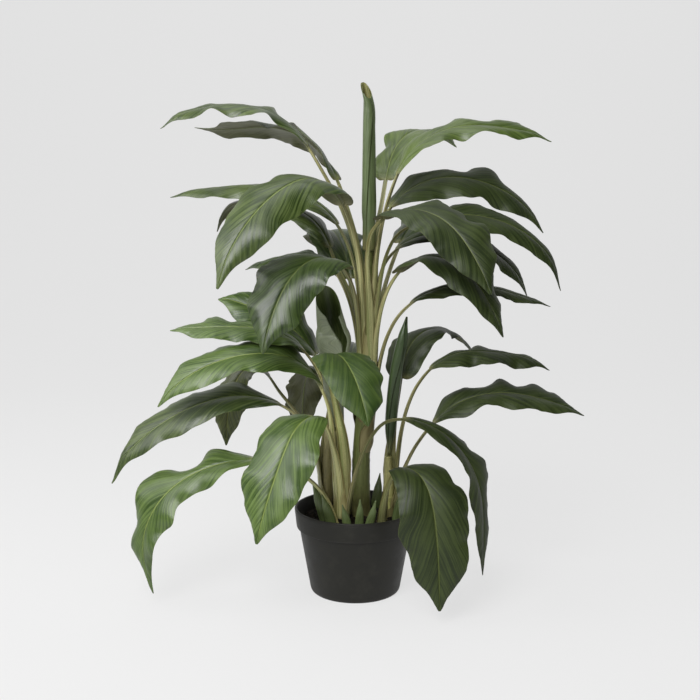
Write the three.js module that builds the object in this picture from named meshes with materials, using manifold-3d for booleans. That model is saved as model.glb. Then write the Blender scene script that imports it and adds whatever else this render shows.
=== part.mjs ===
// A potted dracaena: a nursery pot of soil with four canes, and on them long-stalked leaves,
// rolled young leaves and basal shoots. Millimetres, +Z up. The origin is the middle of the
// pot's underside, and the plant's best side faces -Y.
import * as THREE from "three";
import { mergeVertices } from "three/addons/utils/BufferGeometryUtils.js";
import Module from "manifold-3d";

const wasm = await Module();
wasm.setup();

// ---- driving dimensions ----

const GAP = 0.3; // clearance between pieces that touch

const POT = {
  rimRadius: 85, // outer, at the top of the collar
  height: 120,
  baseRadius: 62.5,
  baseEdge: 6, // rounding of the bottom edge
  collarHeight: 27,
  collarStep: 4, // how far the collar stands out from the wall below it
  collarTaper: 2.5, // how much narrower the collar is at its lower edge
  wall: 2.5,
  floor: 3,
  sides: 48,
};

const SOIL = {
  surface: 102, // height of the soil's edge above the pot's underside
  crown: 4, // rise of the soil from its edge to its middle
  sides: 32,
};

const ROOT_DEPTH = 55; // how deep the canes stand in the soil
const SHOOT_DEPTH = 8; // how deep the basal shoots stand in it

const CANE_SIDES = 12;
const CANE_ROWS = 10;
const SHOOT_SIDES = 8;
const SHOOT_ROWS = 6;
const SPEAR_SIDES = 10;
const SPEAR_ROWS = 12;

// Canes: points up the axis, and the radius at each.
const CANES = {
  tall: {
    axis: [[9, 4, 0], [8, 5, 185], [13, 6, 270], [18, 6, 355], [18, 5, 440], [18, 4, 476]],
    radius: [14, 12.5, 10.5, 8.5, 6.5, 5],
  },
  left: {
    axis: [[-18, -8, 0], [-18, -8, 190], [-22, -8, 230]],
    radius: [10, 9, 7],
  },
  right: {
    axis: [[46, 6, 0], [47, 5, 130], [46, 5, 190]],
    radius: [9, 8, 5],
  },
  back: {
    axis: [[-40, 20, 0], [-40, 20, 170], [-38, 22, 225]],
    radius: [8, 7, 5],
  },
};

const LEAF = {
  stalkHalfWidth: 3, // of the leaf stalk where the blade begins
  footHalfWidth: 4.2, // of the stalk at the cane
  thickness: 0.9,
  stalkRings: 5,
  bladeRings: [0.04, 0.1, 0.18, 0.28, 0.39, 0.5, 0.61, 0.72, 0.83, 0.93],
  widestBefore: 0.5, // the outline is s^widestBefore * (1 - s)^widestAfter
  widestAfter: 0.85,
  midribDepth: 2.2, // of the midrib under the blade at its base
  cup: 0.1, // rise of the blade halves beside the midrib, in half widths
};

// One row a leaf. stand is the cane it grows from, foot the height where its stalk leaves the
// cane and side the bearing of that place round the cane. base is where the blade begins. The
// blade runs from there: bearing and pitch are its direction in degrees, spread evenly from
// base to tip, with bearing 0 along +X, 90 along +Y, and pitch 90 straight up. width is the
// whole width at the widest place. roll turns the blade about its own run, right-handed, and is
// spread along it like the pitch. fold is how far each half slopes down from the midrib.
const LEAVES = [
  // left side of the tall cane, from the top down
  { name: "tall_leaf_01", stand: "tall", foot: 428, side: 175, base: [-65, 15, 618],
    bearing: [170, 173], pitch: [56, 20, -8, -20], length: 228, width: 54, roll: [0, -10, -30], fold: 14 },
  { name: "tall_leaf_02", stand: "tall", foot: 404, side: 128, base: [-25, 36, 572],
    bearing: [146, 172], pitch: [62, 28, -4, 8], length: 250, width: 60, roll: [36, 30, 10], fold: 10 },
  { name: "tall_leaf_03", stand: "tall", foot: 388, side: 215, base: [-17, -18, 540],
    bearing: [226, 218], pitch: [54, -14, -45, -66], length: 276, width: 80, roll: [0, -32, -38], fold: 16 },
  { name: "tall_leaf_04", stand: "tall", foot: 366, side: 156, base: [-25, 30, 512],
    bearing: [160, 174], pitch: [52, 12, -3, -10], length: 262, width: 56, roll: [-14, -18, -20], fold: 22 },
  { name: "tall_leaf_05", stand: "tall", foot: 344, side: 122, base: [-36, 38, 480],
    bearing: [146, 172], pitch: [66, 20, 0, -76], length: 222, width: 54, roll: [-10, -6, 20], fold: 18 },
  { name: "tall_leaf_06", stand: "tall", foot: 318, side: 205, base: [-18, -28, 456],
    bearing: [225, 228], pitch: [38, -22, -57, -70], length: 206, width: 86, roll: [0, -30, -36], fold: 8 },
  { name: "tall_leaf_07", stand: "tall", foot: 326, side: 162, base: [-30, 18, 452],
    bearing: [160, 170], pitch: [50, 0, -14, -16], length: 138, width: 46, roll: [-10, -18, -18], fold: 18 },
  { name: "tall_leaf_08", stand: "tall", foot: 300, side: 100, base: [-8, 40, 436],
    bearing: [116, 98], pitch: [72, 34, -15, -55], length: 190, width: 78, roll: [0, 0, 0], fold: 8 },
  // right side of the tall cane, from the top down
  { name: "tall_leaf_09", stand: "tall", foot: 436, side: 335, base: [56, -4, 580],
    bearing: [15, 6], pitch: [64, 22, -6, -9], length: 243, width: 54, roll: [4, 26, 30], fold: 5 },
  { name: "tall_leaf_10", stand: "tall", foot: 414, side: 85, base: [42, 42, 572],
    bearing: [62, 40], pitch: [70, 34, -4, -24], length: 205, width: 60, roll: [0, 0, 0], fold: 4 },
  { name: "tall_leaf_11", stand: "tall", foot: 396, side: 22, base: [48, 20, 536],
    bearing: [20, 4], pitch: [46, 6, -26, -56], length: 262, width: 72, roll: [26, 38, 34], fold: 14 },
  { name: "tall_leaf_12", stand: "tall", foot: 378, side: 335, base: [74, 2, 512],
    bearing: [4, 4], pitch: [20, -4, -34, -68], length: 250, width: 60, roll: [20, 34, 30], fold: 10 },
  { name: "tall_leaf_13", stand: "tall", foot: 360, side: 288, base: [36, -34, 522],
    bearing: [324, 322], pitch: [26, -14, -50, -60], length: 212, width: 88, roll: [0, 22, 26], fold: 4 },
  { name: "tall_leaf_14", stand: "tall", foot: 308, side: 320, base: [58, -18, 450],
    bearing: [326, 336], pitch: [44, -10, -52, -66], length: 206, width: 72, roll: [0, 18, 20], fold: 8 },
  { name: "tall_leaf_15", stand: "tall", foot: 340, side: 35, base: [57, 36, 478],
    bearing: [10, 10], pitch: [34, -8, -34, -66], length: 232, width: 64, roll: [10, 26, 34], fold: 2 },
  { name: "tall_leaf_16", stand: "tall", foot: 262, side: 5, base: [76, 4, 406],
    bearing: [8, 6], pitch: [34, 4, -16, -13], length: 206, width: 48, roll: [10, 14, 14], fold: 14 },
  // behind the tall cane
  { name: "tall_leaf_17", stand: "tall", foot: 290, side: 58, base: [64, 66, 484],
    bearing: [54, 52], pitch: [48, 6, -36, -64], length: 225, width: 66, roll: [0, 0, 0], fold: 8 },
  // the left and back canes
  { name: "left_leaf_01", stand: "left", foot: 200, side: 120, base: [-56, 32, 330],
    bearing: [163, 175], pitch: [54, 34, 20, 16], length: 166, width: 72, roll: [-20, -44, -46], fold: 4 },
  { name: "left_leaf_02", stand: "left", foot: 158, side: 160, base: [-72, -6, 344],
    bearing: [188, 184], pitch: [44, 10, -1, 2], length: 188, width: 58, roll: [-14, -24, -24], fold: 12 },
  { name: "left_leaf_03", stand: "left", foot: 160, side: 205, base: [-46, -24, 293],
    bearing: [196, 188], pitch: [62, 8, -22, -48], length: 260, width: 66, roll: [-6, -34, -42], fold: 5 },
  { name: "left_leaf_04", stand: "left", foot: 150, side: 245, base: [-56, -54, 260],
    bearing: [240, 222], pitch: [4, -50, -64, -70], length: 200, width: 88, roll: [0, -20, -24], fold: 4 },
  { name: "left_leaf_05", stand: "left", foot: 186, side: 290, base: [-33, -54, 340],
    bearing: [288, 296], pitch: [22, -14, -44, -66], length: 165, width: 80, roll: [0, 0, 0], fold: 4 },
  { name: "back_leaf_01", stand: "back", foot: 180, side: 110, base: [-44, 48, 300],
    bearing: [128, 95], pitch: [32, -48, -74, -82], length: 150, width: 56, roll: [0, 0, 0], fold: 4 },
  { name: "back_leaf_02", stand: "back", foot: 160, side: 185, base: [-103, -12, 268],
    bearing: [190, 188], pitch: [24, -12, -34, -50], length: 265, width: 64, roll: [-16, -34, -34], fold: 8 },
  { name: "back_leaf_03", stand: "back", foot: 172, side: 150, base: [-121, 34, 298],
    bearing: [185, 200], pitch: [58, -52, -80, -87], length: 150, width: 52, roll: [0, -46, -60], fold: 0 },
  { name: "back_leaf_04", stand: "back", foot: 190, side: 55, base: [-10, 76, 286],
    bearing: [80, 96], pitch: [58, 10, -36, -70], length: 220, width: 64, roll: [0, 0, 0], fold: 8 },
  // the right cane
  { name: "right_leaf_01", stand: "right", foot: 168, side: 80, base: [64, 32, 296],
    bearing: [62, 14], pitch: [72, 32, -20, -56], length: 195, width: 74, roll: [0, 0, 10], fold: 6 },
  { name: "right_leaf_02", stand: "right", foot: 150, side: 10, base: [103, 2, 315],
    bearing: [4, 4], pitch: [42, 4, -10, -28], length: 178, width: 58, roll: [8, 14, 14], fold: 20 },
  { name: "right_leaf_03", stand: "right", foot: 125, side: 335, base: [108, -2, 240],
    bearing: [4, 2], pitch: [46, 12, -14, -20], length: 228, width: 66, roll: [14, 24, 20], fold: 4 },
  // leaves that grow from the foot of the plant
  { name: "low_leaf_01", from: [-26, -34, 110], base: [-132, -46, 198],
    bearing: [190, 190], pitch: [2, -26, -68, -115], length: 270, width: 66, roll: [-12, -38, -40], fold: 4 },
  { name: "low_leaf_02", from: [-14, -46, 110], base: [64, -52, 257],
    bearing: [352, 345], pitch: [-8, -50, -85, -90], length: 266, width: 54, roll: [10, 16, 20], fold: 4 },
  { name: "low_leaf_03", from: [36, -36, 110], base: [62, -66, 192],
    bearing: [306, 292], pitch: [14, -62, -82, -86], length: 218, width: 92, roll: [0, 20, 24], fold: 2 },
];

// Young leaves still rolled up: points up the axis, and the radius at each. They stand just
// clear of the cane that they grow from.
const SPEARS = {
  tall_spear: {
    axis: [[18, 4, 478], [18, 3, 522], [18, 2, 566], [18, 2, 610], [18, 2, 652], [18, 2, 682], [14, 2, 702]],
    radius: [1.5, 9.5, 9.5, 9, 8.5, 7.5, 0.8],
  },
  right_spear: {
    axis: [[47, 8, 193], [49, 8, 232], [53, 9, 280], [59, 9, 325], [66, 10, 358], [71, 10, 386]],
    radius: [2, 8, 8.5, 7.5, 5, 0.8],
  },
  left_spear: {
    axis: [[-24, -4, 234], [-28, -2, 270], [-29, 0, 315], [-29, -2, 362], [-33, -6, 400], [-36, -10, 428]],
    radius: [3, 8, 13, 17, 10, 1],
  },
};

// Basal shoots: foot, tip and the radius at the foot.
const SHOOTS = [
  { foot: [-42, -32], tip: [-59, -30, 162], radius: 7 },
  { foot: [-34, -44], tip: [-46, -46, 150], radius: 6 },
  { foot: [-12, -62], tip: [-18, -62, 140], radius: 5 },
  { foot: [4, -58], tip: [6, -62, 148], radius: 5 },
  { foot: [18, -58], tip: [27, -62, 146], radius: 5 },
  { foot: [56, -24], tip: [62, -30, 150], radius: 5 },
  { foot: [30, 50], tip: [36, 58, 152], radius: 6 },
  { foot: [-14, 52], tip: [-18, 60, 144], radius: 6 },
];

// ---- colours ----

const finish = (color, roughness) => new THREE.MeshStandardMaterial({ color, roughness, metalness: 0 });
const POT_FINISH = finish(0x2d2e2c, 0.6);
const SOIL_FINISH = finish(0x3b2f26, 0.95);
const CANE_FINISH = finish(0x8d8a60, 0.6);
const LEAF_FINISH = finish(0x33452f, 0.45);
const SPEAR_FINISH = finish(0x3a4a30, 0.5);
const SHOOT_FINISH = finish(0x57643d, 0.55);

// ---- small tools ----

const radians = THREE.MathUtils.degToRad;
const vector = ([x, y, z]) => new THREE.Vector3(x, y, z);

// The unit vector of a bearing and a pitch in degrees.
function direction(bearing, pitch) {
  const level = Math.cos(radians(pitch));
  const x = level * Math.cos(radians(bearing));
  const y = level * Math.sin(radians(bearing));
  return new THREE.Vector3(x, y, Math.sin(radians(pitch)));
}

// The value at t, from 0 to 1, on a smooth curve through evenly spread values.
function blend(values, t) {
  const curve = new THREE.SplineCurve(values.map((value, i) => new THREE.Vector2(i, value)));
  return curve.getPoint(t).y;
}

// A closed solid from rings of points, with a fan at each end to a middle point. From side
// underFrom on, its quads are split the other way, so that the under side of a thin twisted
// blade has the same creases as its upper side.
function loft(rings, start, end, underFrom = rings[0].length) {
  const sides = rings[0].length;
  const points = [...rings.flat(), start, end];
  const startIndex = points.length - 2;
  const endIndex = points.length - 1;
  const lastRing = (rings.length - 1) * sides;
  const faces = [];
  for (let j = 0; j < sides; j++) {
    const next = (j + 1) % sides;
    for (let row = 0; row < lastRing; row += sides) {
      const [a, b, c, d] = [row + j, row + next, row + sides + next, row + sides + j];
      if (j < underFrom) faces.push(a, b, c, a, c, d);
      else faces.push(a, b, d, b, c, d);
    }
    faces.push(startIndex, next, j);
    faces.push(endIndex, lastRing + j, lastRing + next);
  }
  const geometry = new THREE.BufferGeometry().setFromPoints(points);
  geometry.setIndex(faces);
  geometry.computeVertexNormals();
  return geometry;
}

// A round tube with a changing radius along a smooth curve through points.
function stem(axisPoints, radii, sides, rows) {
  const curve = new THREE.CatmullRomCurve3(axisPoints.map(vector));
  const rings = [];
  for (let row = 0; row <= rows; row++) {
    const t = row / rows;
    const middle = curve.getPoint(t);
    const along = curve.getTangent(t);
    const across = new THREE.Vector3(0, 1, 0).cross(along).normalize();
    const back = along.clone().cross(across);
    const radius = blend(radii, t);
    const ring = [];
    for (let side = 0; side < sides; side++) {
      const angle = (2 * Math.PI * side) / sides;
      const out = across.clone().multiplyScalar(Math.cos(angle));
      out.addScaledVector(back, Math.sin(angle));
      ring.push(middle.clone().addScaledVector(out, radius));
    }
    rings.push(ring);
  }
  return loft(rings, curve.getPoint(0), curve.getPoint(1));
}

function named(name, geometry, material) {
  const mesh = new THREE.Mesh(geometry, material);
  mesh.name = name;
  return mesh;
}

// The geometry as a solid that can be cut.
function solidOf(geometry) {
  const bare = geometry.clone();
  bare.deleteAttribute("normal");
  bare.deleteAttribute("uv");
  const merged = mergeVertices(bare);
  const vertProperties = merged.attributes.position.array;
  const triVerts = new Uint32Array(merged.index.array);
  return new wasm.Manifold(new wasm.Mesh({ numProp: 3, vertProperties, triVerts }));
}

function geometryOf(solid) {
  const mesh = solid.getMesh();
  const geometry = new THREE.BufferGeometry();
  geometry.setAttribute("position", new THREE.BufferAttribute(mesh.vertProperties, 3));
  geometry.setIndex(new THREE.BufferAttribute(mesh.triVerts, 1));
  geometry.computeVertexNormals();
  return geometry;
}

// ---- the pot ----

const collarBottom = POT.height - POT.collarHeight;
const collarRadius = POT.rimRadius - POT.collarTaper;
const wallTopRadius = collarRadius - POT.collarStep;

// Outer radius of the pot's wall, without the collar, at height z.
const wallRadius = (z) =>
  THREE.MathUtils.lerp(POT.baseRadius, wallTopRadius, z / collarBottom);

function pot() {
  const outline = [new THREE.Vector2(0, 0)];
  for (let step = 0; step <= 3; step++) {
    const angle = (step / 3) * (Math.PI / 2);
    outline.push(
      new THREE.Vector2(
        POT.baseRadius - POT.baseEdge * (1 - Math.sin(angle)),
        POT.baseEdge * (1 - Math.cos(angle)),
      ),
    );
  }
  const inside = (z) => wallRadius(z) - POT.wall;
  const inner = inside(collarBottom);
  const rimInner = POT.rimRadius - POT.wall - 1;
  const corners = [
    [wallTopRadius, collarBottom],
    [collarRadius, collarBottom + 1],
    [POT.rimRadius, POT.height - 2],
    [POT.rimRadius - 1, POT.height],
    [rimInner, POT.height],
    [inner + 1, collarBottom + 5],
    [inner, collarBottom],
    [inside(POT.floor), POT.floor],
    [0, POT.floor],
  ];
  outline.push(...corners.map(([r, z]) => new THREE.Vector2(r, z)));
  const geometry = new THREE.LatheGeometry(outline, POT.sides);
  geometry.rotateX(Math.PI / 2);
  return named("pot", geometry, POT_FINISH);
}

// ---- canes and shoots, and the soil round them ----

// How far beyond a round radius a ring of straight sides must stand to keep its distance.
const chordFactor = (sides) => 1 / Math.cos(Math.PI / sides);

function canePoints(cane) {
  const [[x, y]] = cane.axis;
  const foot = [x, y, SOIL.surface - ROOT_DEPTH];
  return [foot, ...cane.axis.slice(1)];
}

const canes = Object.entries(CANES).map(([key, cane]) =>
  named(`${key}_cane`, stem(canePoints(cane), cane.radius, CANE_SIDES, CANE_ROWS), CANE_FINISH),
);

function shootStem(shoot, extra) {
  const [x, y] = shoot.foot;
  const foot = [x, y, SOIL.surface - SHOOT_DEPTH - extra];
  const collar = [x, y, SOIL.surface + SHOOT_DEPTH];
  const radius = shoot.radius;
  const radii = [radius * 0.8, radius, radius * 0.75, 0.8].map((r) => r + extra);
  const middle = vector(collar).lerp(vector(shoot.tip), 0.55).toArray();
  return stem([foot, collar, middle, shoot.tip], radii, SHOOT_SIDES, SHOOT_ROWS);
}

const shoots = SHOOTS.map((shoot, i) =>
  named(`shoot_${i + 1}`, shootStem(shoot, 0), SHOOT_FINISH),
);

function soil() {
  const edgeGap = POT.wall + GAP * 2;
  const bottom = POT.floor + GAP;
  const topRadius = wallTopRadius - POT.wall - 1;
  const outline = [
    [0, bottom],
    [wallRadius(bottom) - edgeGap, bottom],
    [wallRadius(collarBottom) - edgeGap, collarBottom],
    [topRadius, SOIL.surface],
    [topRadius * 0.6, SOIL.surface + SOIL.crown * 0.7],
    [0, SOIL.surface + SOIL.crown],
  ].map(([r, z]) => new THREE.Vector2(r, z));
  const block = new THREE.LatheGeometry(outline, SOIL.sides);
  block.rotateX(Math.PI / 2);
  let solid = solidOf(block);
  for (const cane of Object.values(CANES)) {
    const radii = cane.radius.map((r) => r * chordFactor(CANE_SIDES) + GAP);
    const points = canePoints(cane);
    points[0][2] -= GAP;
    solid = solid.subtract(solidOf(stem(points, radii, CANE_SIDES, CANE_ROWS)));
  }
  for (const shoot of SHOOTS) {
    solid = solid.subtract(solidOf(shootStem(shoot, GAP)));
  }
  return named("soil", geometryOf(solid), SOIL_FINISH);
}

// ---- leaves ----

// Half width of a blade at s, from 0 at its base to 1 at its tip, as a share of the widest.
function outlineAt(s) {
  const { widestBefore: a, widestAfter: b } = LEAF;
  const peak = a / (a + b);
  const shape = (t) => t ** a * (1 - t) ** b;
  return shape(s) / shape(peak);
}

// The point where a leaf's stalk starts: on its cane's skin, or where the row says.
function footOf(leaf) {
  if (leaf.from) return vector(leaf.from);
  const cane = CANES[leaf.stand];
  const curve = new THREE.CatmullRomCurve3(canePoints(cane).map(vector));
  let t = 0;
  while (t < 1 && curve.getPoint(t).z < leaf.foot) t += 0.005;
  const reach = blend(cane.radius, t) + LEAF.footHalfWidth * 0.25 + 2 * GAP;
  return curve.getPoint(t).addScaledVector(direction(leaf.side, 0), reach);
}

// Places along a leaf from its foot to its tip: the middle point, the direction, the place on
// the blade (below 0 on the stalk) and the roll.
function stationsOf(leaf) {
  const foot = footOf(leaf);
  const base = vector(leaf.base);
  const blade = (s) => direction(blend(leaf.bearing, s), blend(leaf.pitch, s));
  const span = base.distanceTo(foot);
  const up = new THREE.Vector3(0, 0, 1);
  const lean = base.clone().sub(foot).normalize();
  const rise = up.lerp(lean, 0.25).normalize();
  const handle1 = foot.clone().addScaledVector(rise, span * 0.4);
  const handle2 = base.clone().addScaledVector(blade(0), -span * 0.3);
  const stalk = new THREE.CubicBezierCurve3(foot, handle1, handle2, base);
  const stations = [];
  for (let ring = 0; ring < LEAF.stalkRings; ring++) {
    const t = ring / LEAF.stalkRings;
    stations.push({ point: stalk.getPoint(t), along: stalk.getTangent(t), s: t - 1, roll: 0 });
  }
  const point = base.clone();
  let reached = 0;
  for (const s of [...LEAF.bladeRings, 1]) {
    const steps = 8;
    for (let step = 0; step < steps; step++) {
      const middle = reached + ((step + 0.5) / steps) * (s - reached);
      point.addScaledVector(blade(middle), ((s - reached) / steps) * leaf.length);
    }
    reached = s;
    const settled = THREE.MathUtils.smoothstep(s, 0, 0.2);
    const roll = blend(leaf.roll, s) * settled;
    stations.push({ point: point.clone(), along: blade(s), s, roll });
  }
  return stations;
}

// The eight points round a stalk, as [sideways, upwards] pairs from its middle. Those from
// LEAF_UNDER_SIDE on, and the first, are the under side.
const LEAF_UNDER_SIDE = 4;

function stalkSection(half) {
  return [
    [half, 0],
    [half * 0.6, half * 0.25],
    [0, half * 0.1],
    [-half * 0.6, half * 0.25],
    [-half, 0],
    [-half * 0.7, -half * 0.75],
    [0, -half * 1.1],
    [half * 0.7, -half * 0.75],
  ];
}

// The same eight points round a blade: its two edges, and over and under each half and the midrib.
function bladeSection(leaf, s) {
  const half = Math.max(LEAF.stalkHalfWidth, (leaf.width / 2) * outlineAt(s));
  const skin = LEAF.thickness / 2;
  const rib = LEAF.midribDepth * (1 - s);
  const slope = radians(leaf.fold) * THREE.MathUtils.smoothstep(s, 0, 0.2);
  const reach = half * Math.cos(slope);
  const drop = -half * Math.sin(slope);
  const middle = drop / 2 + half * LEAF.cup;
  return [
    [reach, drop],
    [reach / 2, middle + skin],
    [0, skin],
    [-reach / 2, middle + skin],
    [-reach, drop],
    [-reach / 2, middle - skin],
    [0, -skin - rib],
    [reach / 2, middle - skin],
  ];
}

// The level direction that a leaf's upper side faces away from: at the foot, out from its cane.
function outwardAt(leaf, s) {
  if (s > 0) return direction(blend(leaf.bearing, s), 0);
  const atBase = direction(leaf.bearing[0], 0);
  const atFoot = leaf.from ? atBase : direction(leaf.side, 0);
  return atFoot.clone().lerp(atBase, THREE.MathUtils.smoothstep(s, -0.9, -0.2)).normalize();
}

function leafMesh(leaf) {
  const stations = stationsOf(leaf);
  const tip = stations.pop().point;
  const rings = [];
  for (const { point, along, s, roll } of stations) {
    const outward = outwardAt(leaf, s);
    const left = new THREE.Vector3(0, 0, 1).cross(outward);
    left.addScaledVector(along, -left.dot(along)).normalize();
    const over = along.clone().cross(left);
    left.applyAxisAngle(along, radians(roll));
    over.applyAxisAngle(along, radians(roll));
    const half = THREE.MathUtils.lerp(LEAF.stalkHalfWidth, LEAF.footHalfWidth, -s);
    const section = s < 0 ? stalkSection(half) : bladeSection(leaf, s);
    rings.push(
      section.map(([sideways, upwards]) =>
        point.clone().addScaledVector(left, sideways).addScaledVector(over, upwards),
      ),
    );
  }
  return named(leaf.name, loft(rings, stations[0].point, tip, LEAF_UNDER_SIDE), LEAF_FINISH);
}

// ---- the rolled leaves ----

const spears = Object.entries(SPEARS).map(([name, spear]) =>
  named(name, stem(spear.axis, spear.radius, SPEAR_SIDES, SPEAR_ROWS), SPEAR_FINISH),
);

const dracaena = new THREE.Group();
dracaena.add(pot(), soil(), ...canes, ...LEAVES.map(leafMesh), ...spears, ...shoots);

export default dracaena;
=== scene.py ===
"""The looks of a potted dracaena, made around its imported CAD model.

Each CAD leaf, cane, rolled leaf and shoot is a plain loft. Here each is made again as a fine
mesh on the rings of that loft: a leaf gets a channelled stalk with a sheath round its cane, a
midrib and thin wavy blades. Everything is in metres, +Z up, in the frame of the CAD model.
"""

import math

import bpy
import numpy as np
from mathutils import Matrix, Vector


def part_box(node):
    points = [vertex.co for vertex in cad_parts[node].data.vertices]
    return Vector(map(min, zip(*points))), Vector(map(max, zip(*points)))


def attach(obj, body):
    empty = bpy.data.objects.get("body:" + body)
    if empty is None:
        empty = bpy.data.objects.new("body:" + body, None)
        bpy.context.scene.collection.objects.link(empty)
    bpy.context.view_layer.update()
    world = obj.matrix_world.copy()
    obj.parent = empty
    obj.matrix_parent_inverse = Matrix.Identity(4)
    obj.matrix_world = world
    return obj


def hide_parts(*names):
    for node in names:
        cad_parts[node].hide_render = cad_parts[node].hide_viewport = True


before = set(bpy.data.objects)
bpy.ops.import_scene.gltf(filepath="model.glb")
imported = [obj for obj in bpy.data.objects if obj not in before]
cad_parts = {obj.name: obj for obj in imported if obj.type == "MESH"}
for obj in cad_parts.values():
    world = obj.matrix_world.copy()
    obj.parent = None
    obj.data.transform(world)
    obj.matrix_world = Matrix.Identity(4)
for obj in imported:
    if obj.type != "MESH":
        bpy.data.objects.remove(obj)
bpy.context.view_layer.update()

MM = 0.001
UP = np.array([0.0, 0.0, 1.0])

# ---- the CAD model's own measures ----

LEAF_SIDES = 8  # corners in a ring of a leaf's loft
STALK_RINGS = 5  # rings on the stalk, before those on the blade
CANE_SIDES = 12
SPEAR_SIDES = 10
SHOOT_SIDES = 8
SHOOT_COUNT = 8
OUTLINE_BEFORE = 0.5  # a blade's outline is s^before * (1 - s)^after
OUTLINE_AFTER = 0.85
FIRST_BLADE_RING = 0.04  # its place on the blade
SOIL_LEVEL = 102 * MM

# ---- what each leaf looks like ----

USUAL_LOBE = 9  # how far a blade's base reaches back beside its stalk, in millimetres
LOBES = {
    "tall_leaf_03": 18, "tall_leaf_06": 18, "tall_leaf_13": 20, "tall_leaf_14": 16,
    "tall_leaf_11": 12, "left_leaf_04": 12, "low_leaf_03": 14,
}
USUAL_HOOK = 4  # how far a blade's tip hooks down, in millimetres
HOOKS = {
    "back_leaf_02": 18, "low_leaf_01": 14, "tall_leaf_01": 10, "tall_leaf_12": 14,
    "tall_leaf_09": 8, "tall_leaf_03": 8, "tall_leaf_02": 0, "left_leaf_05": 0,
}
USUAL_WAVE = 1.0  # how much a blade waves
WAVES = {
    "tall_leaf_01": 1.5, "tall_leaf_02": 1.4, "tall_leaf_09": 1.5, "tall_leaf_11": 1.2,
    "low_leaf_01": 1.7, "low_leaf_02": 1.2, "left_leaf_05": 0.3, "left_leaf_04": 0.6,
    "low_leaf_03": 0.6, "tall_leaf_13": 0.6, "tall_leaf_06": 0.7, "tall_leaf_03": 0.7,
    "right_leaf_02": 1.3, "right_leaf_03": 1.4,
}
USUAL_FINISH = "dark"
LEAF_FINISH = {
    "tall_leaf_01": "mid", "tall_leaf_02": "mid", "tall_leaf_03": "mid", "tall_leaf_04": "mid",
    # tall_leaf_09 and tall_leaf_10 take the lit finish, whose colours hold painted light shining
    # through the leaf
    "tall_leaf_05": "mid", "tall_leaf_09": "lit", "tall_leaf_10": "lit",
    "tall_leaf_11": "matt", "tall_leaf_12": "matt", "tall_leaf_13": "matt",
    "tall_leaf_14": "matt", "tall_leaf_15": "matt", "tall_leaf_16": "matt",
    "right_leaf_01": "matt", "right_leaf_02": "matt", "right_leaf_03": "matt",
    "low_leaf_02": "matt", "low_leaf_03": "matt",
    "left_leaf_01": "bright", "left_leaf_02": "bright", "left_leaf_03": "bright",
    "left_leaf_04": "bright", "left_leaf_05": "deep", "low_leaf_01": "bright",
    "back_leaf_01": "mid", "back_leaf_02": "mid", "back_leaf_03": "olive",
}
SHEATH_LENGTH = 72 * MM


# ---- curves and noise ----

def smooth(t):
    """0 to 1 with no slope at either end, as t goes from 0 to 1."""
    t = np.clip(t, 0.0, 1.0)
    return t * t * (3 - 2 * t)


def mix(a, b, t):
    return a + (b - a) * t


def unit(vectors):
    length = np.linalg.norm(vectors, axis=-1, keepdims=True)
    return vectors / np.maximum(length, 1e-12)


def spline(knots, values, at):
    """Values at the places at, on a smooth curve through values at knots."""
    values = np.asarray(values, float)
    knots = np.asarray(knots, float)
    at = np.asarray(at, float)
    shape = (-1,) + (1,) * (values.ndim - 1)
    steps = np.diff(knots)
    slopes = np.diff(values, axis=0) / steps.reshape(shape)
    earlier = (steps[1:] / (steps[1:] + steps[:-1])).reshape(shape)
    inner = slopes[:-1] * earlier + slopes[1:] * (1 - earlier)
    tangents = np.concatenate([slopes[:1], inner, slopes[-1:]])
    piece = np.clip(np.searchsorted(knots, at, side="right") - 1, 0, len(steps) - 1)
    t = ((at - knots[piece]) / steps[piece]).reshape(shape)
    step = steps[piece].reshape(shape)
    return (
        (2 * t**3 - 3 * t**2 + 1) * values[piece]
        + (t**3 - 2 * t**2 + t) * step * tangents[piece]
        + (3 * t**2 - 2 * t**3) * values[piece + 1]
        + (t**3 - t**2) * step * tangents[piece + 1]
    )


def waves(at, count, rng):
    """A smooth irregular curve of about count waves over 0 to 1, mostly within -1 to 1."""
    total = np.zeros_like(at)
    for part, share in ((0.6, 0.45), (1.0, 0.4), (1.7, 0.22)):
        turn = rng.uniform(0, 2 * math.pi)
        total += share * np.sin(2 * math.pi * count * part * at + turn)
    return total


def round_points(radius, angle, height):
    """Points at these radii, angles and heights round the z axis."""
    places = np.broadcast_arrays(radius * np.cos(angle), radius * np.sin(angle), height)
    return np.stack(places, axis=-1)


# ---- the rings of a CAD loft ----

def welded(node):
    """The corners of a CAD node's mesh, each once, and the neighbours of each."""
    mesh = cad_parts[node].data
    ids = {}
    corner = [
        ids.setdefault(tuple(round(x / (0.01 * MM)) for x in v.co), len(ids))
        for v in mesh.vertices
    ]
    points = np.zeros((len(ids), 3))
    for i, v in zip(corner, mesh.vertices):
        points[i] = v.co
    neighbours = [set() for _ in ids]
    mesh.calc_loop_triangles()
    for triangle in mesh.loop_triangles:
        a, b, c = (corner[i] for i in triangle.vertices)
        neighbours[a] |= {b, c}
        neighbours[b] |= {a, c}
        neighbours[c] |= {a, b}
    return points, neighbours


def loft_rings(node, sides):
    """The rings of a lofted CAD node from one end to the other, and the two end points."""
    points, neighbours = welded(node)
    start, end = [i for i, near in enumerate(neighbours) if len(near) == sides]
    layers = [[start]]
    seen = {start}
    while layers[-1] != [end]:
        layer = sorted({j for i in layers[-1] for j in neighbours[i]} - seen)
        seen |= set(layer)
        layers.append(layer)
    rings = []
    for layer in layers[1:-1]:
        around = [layer[0]]
        while len(around) < len(layer):
            inside = neighbours[around[-1]] & set(layer)
            around.append(min(inside - set(around)))
        rings.append(points[around])
    return np.array(rings), points[start], points[end]


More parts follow.
